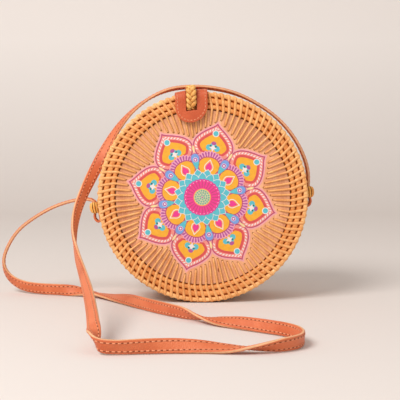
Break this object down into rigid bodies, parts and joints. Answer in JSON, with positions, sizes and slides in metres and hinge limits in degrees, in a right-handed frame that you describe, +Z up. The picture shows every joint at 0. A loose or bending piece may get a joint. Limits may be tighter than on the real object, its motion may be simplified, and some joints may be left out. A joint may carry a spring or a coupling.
{
  "type": "handbag",
  "caption": "Round rattan cross-body bag whose front half hinges open below a leather closure tab, with a long leather strap.",
  "frame": {"origin": "on the table, under the middle of the round bag, halfway through its depth", "axes": "+Z up, the decorated front faces -Y, and -Y to +Y is the bag's depth"},
  "size_m": [0.3127, 0.2973, 0.2071],
  "materials": {
    "painted_wood": "thin decorated disc, matt varnish",
    "strand_cane": "split cane strand, satin",
    "rim_cane": "split cane, satin",
    "woven_cane": "woven cane, satin",
    "coiled_cane": "coiled and bound cane, satin",
    "plaited_cane": "plaited pale cane, satin",
    "bound_cane": "cane bound with split cane, satin",
    "tab_leather": "smooth leather, stitched edge",
    "strap_leather": "smooth leather with a pale cut edge, stitched"
  },
  "bodies": {
    "shell": {"back_panel": "coiled_cane", "back_outer_hoop": "rim_cane", "back_wall": "woven_cane", "back_edge_hoop": "rim_cane", "left_lashing": "strand_cane", "right_lashing": "strand_cane", "left_lug": "bound_cane", "right_lug": "bound_cane", "flap_root": "tab_leather", "shoulder_strap": "strap_leather", "left_strap_tail": "strap_leather", "right_strap_tail": "strap_leather"},
    "lid": {"front_panel": "painted_wood", "front_strands": "strand_cane", "front_inner_hoop": "rim_cane", "front_middle_hoop": "rim_cane", "front_outer_hoop": "rim_cane", "lid_wall": "woven_cane", "lid_edge_hoop": "rim_cane", "closure_hoop": "plaited_cane"},
    "flap": {"closure_flap": "tab_leather"}
  },
  "joints": [
    {"name": "lid_hinge", "type": "hinge", "parent": "shell", "child": "lid", "pos_m": [0, -0.00967, 0.00397], "axis": [1, 0, 0], "range_deg": [0, 50], "deforming": ["closure_flap", "shoulder_strap"]},
    {"name": "flap_lift", "type": "hinge", "parent": "shell", "child": "flap", "pos_m": [-0.01158, -0.00475, 0.20164], "axis": [-0.9936, 0, -0.1132], "range_deg": [0, 90]}
  ]
}
